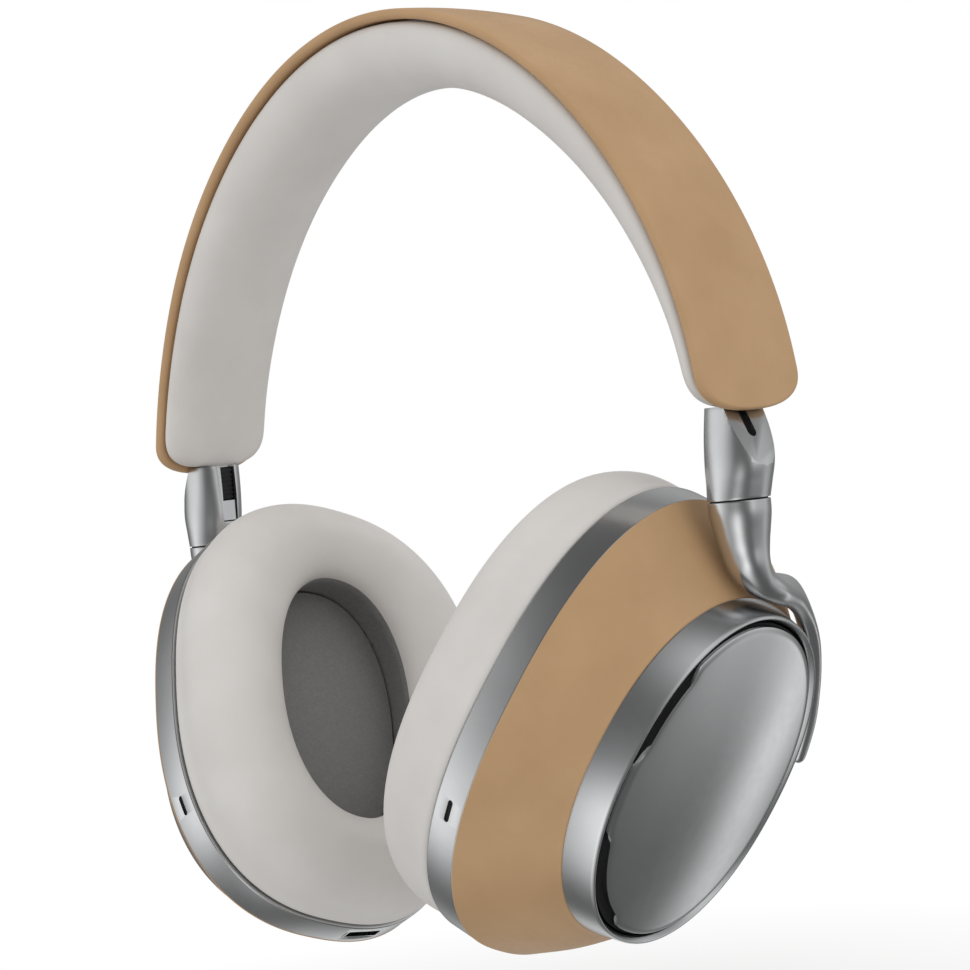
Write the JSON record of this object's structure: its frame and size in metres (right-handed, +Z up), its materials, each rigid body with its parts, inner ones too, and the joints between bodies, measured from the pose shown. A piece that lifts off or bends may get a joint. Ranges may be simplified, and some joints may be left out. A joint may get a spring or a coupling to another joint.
{
  "type": "over-ear headphones",
  "caption": "Over-ear headphones: padded leather headband, sliding and swivelling aluminium arms, and tilting oval ear cups with soft pads.",
  "frame": {"origin": "middle of the underside of the headband cushion, where the headband rests on the head", "axes": "+Z up, front towards -Y, the wearer's left cup at +X"},
  "size_m": [0.1746, 0.086, 0.1987],
  "materials": {
    "tan_leather": "smooth tan leather with a fine grain, satin",
    "pale_leather": "smooth warm off-white leather over memory foam, matte",
    "satin_aluminium": "satin cast aluminium",
    "polished_aluminium": "polished aluminium, slightly domed",
    "spring_steel": "plain spring steel strip",
    "bright_steel": "bright machined steel",
    "magnet_steel": "plated steel",
    "dark_plastic": "moulded dark plastic",
    "black_cable": "ribbed black cable jacket",
    "black_mesh": "fine black mesh",
    "grey_fabric": "fine knitted acoustic fabric, dark grey",
    "driver_film": "pressed cellulose cone",
    "circuit_board": "green solder mask",
    "battery_wrap": "dark wrapped pouch cell"
  },
  "bodies": {
    "headband": {"headband_cover": "tan_leather", "headband_core": "spring_steel", "headband_cushion": "pale_leather", "slider_housing_left": "dark_plastic", "slider_housing_right": "dark_plastic"},
    "arm_left": {"slider_blade_left": "spring_steel", "upper_arm_left": "satin_aluminium", "arm_cable_left": "black_cable", "arm_plug_left": "bright_steel"},
    "yoke_left": {"yoke_left": "satin_aluminium", "swivel_pin_left": "bright_steel"},
    "cup_left": {"trim_ring_left": "satin_aluminium", "ear_cover_left": "tan_leather", "pod_ring_left": "satin_aluminium", "vent_mesh_left": "black_mesh", "disc_plate_left": "polished_aluminium", "ear_pad_left": "pale_leather", "ear_liner_left": "grey_fabric", "baffle_plate_left": "dark_plastic", "driver_frame_left": "dark_plastic", "driver_diaphragm_left": "driver_film", "driver_magnet_left": "magnet_steel", "circuit_board_left": "circuit_board", "tilt_pin_left": "bright_steel", "battery_pack": "battery_wrap"},
    "arm_right": {"slider_blade_right": "spring_steel", "upper_arm_right": "satin_aluminium", "arm_cable_right": "black_cable", "arm_plug_right": "bright_steel"},
    "yoke_right": {"yoke_right": "satin_aluminium", "swivel_pin_right": "bright_steel"},
    "cup_right": {"trim_ring_right": "satin_aluminium", "ear_cover_right": "tan_leather", "pod_ring_right": "satin_aluminium", "vent_mesh_right": "black_mesh", "disc_plate_right": "polished_aluminium", "ear_pad_right": "pale_leather", "ear_liner_right": "grey_fabric", "baffle_plate_right": "dark_plastic", "driver_frame_right": "dark_plastic", "driver_diaphragm_right": "driver_film", "driver_magnet_right": "magnet_steel", "circuit_board_right": "circuit_board", "tilt_pin_right": "bright_steel", "usb_c_port": "bright_steel", "side_key_board": "circuit_board"},
    "quick_action_button_cap": {"quick_action_button": "satin_aluminium"},
    "power_switch_cap": {"power_switch": "bright_steel"},
    "volume_up_button_cap": {"volume_up_button": "satin_aluminium"},
    "action_button_cap": {"action_button": "satin_aluminium"},
    "volume_down_button_cap": {"volume_down_button": "satin_aluminium"}
  },
  "joints": [
    {"name": "slider_left", "type": "slide", "parent": "headband", "child": "arm_left", "axis": [0.1822, 0, -0.9833], "range_m": [0, 0.02]},
    {"name": "swivel_left", "type": "hinge", "parent": "arm_left", "child": "yoke_left", "pos_m": [0.08, -0.0036, -0.0926], "axis": [0, 0, 1], "range_deg": [-90, 15]},
    {"name": "tilt_left", "type": "hinge", "parent": "yoke_left", "child": "cup_left", "pos_m": [0.06191, -0.00655, -0.14523], "axis": [-0.0279, 0.9996, 0], "range_deg": [-14, 1]},
    {"name": "slider_right", "type": "slide", "parent": "headband", "child": "arm_right", "axis": [-0.1822, 0, -0.9833], "range_m": [0, 0.02]},
    {"name": "swivel_right", "type": "hinge", "parent": "arm_right", "child": "yoke_right", "pos_m": [-0.08, -0.0036, -0.0926], "axis": [0, 0, 1], "range_deg": [-15, 90]},
    {"name": "tilt_right", "type": "hinge", "parent": "yoke_right", "child": "cup_right", "pos_m": [-0.06191, -0.00655, -0.14523], "axis": [0.0279, 0.9996, 0], "range_deg": [-1, 14]},
    {"name": "quick_action_press", "type": "slide", "parent": "cup_left", "child": "quick_action_button_cap", "axis": [0.1707, -0.9389, 0.2987], "range_m": [0, 0.0007], "stiffness_N_per_m": 2000, "springref_m": -0.0003},
    {"name": "volume_up_press", "type": "slide", "parent": "cup_right", "child": "volume_up_button_cap", "axis": [-0.1445, -0.9591, 0.2435], "range_m": [0, 0.0007], "stiffness_N_per_m": 2000, "springref_m": -0.0003},
    {"name": "action_press", "type": "slide", "parent": "cup_right", "child": "action_button_cap", "axis": [-0.1958, -0.9153, 0.352], "range_m": [0, 0.0007], "stiffness_N_per_m": 2000, "springref_m": -0.0003},
    {"name": "volume_down_press", "type": "slide", "parent": "cup_right", "child": "volume_down_button_cap", "axis": [-0.2501, -0.8474, 0.4683], "range_m": [0, 0.0007], "stiffness_N_per_m": 2000, "springref_m": -0.0003},
    {"name": "power_switch_slide", "type": "slide", "parent": "cup_right", "child": "power_switch_cap", "axis": [-0.4338, 0.0483, 0.8997], "range_m": [-0.0015, 0.0015]}
  ]
}
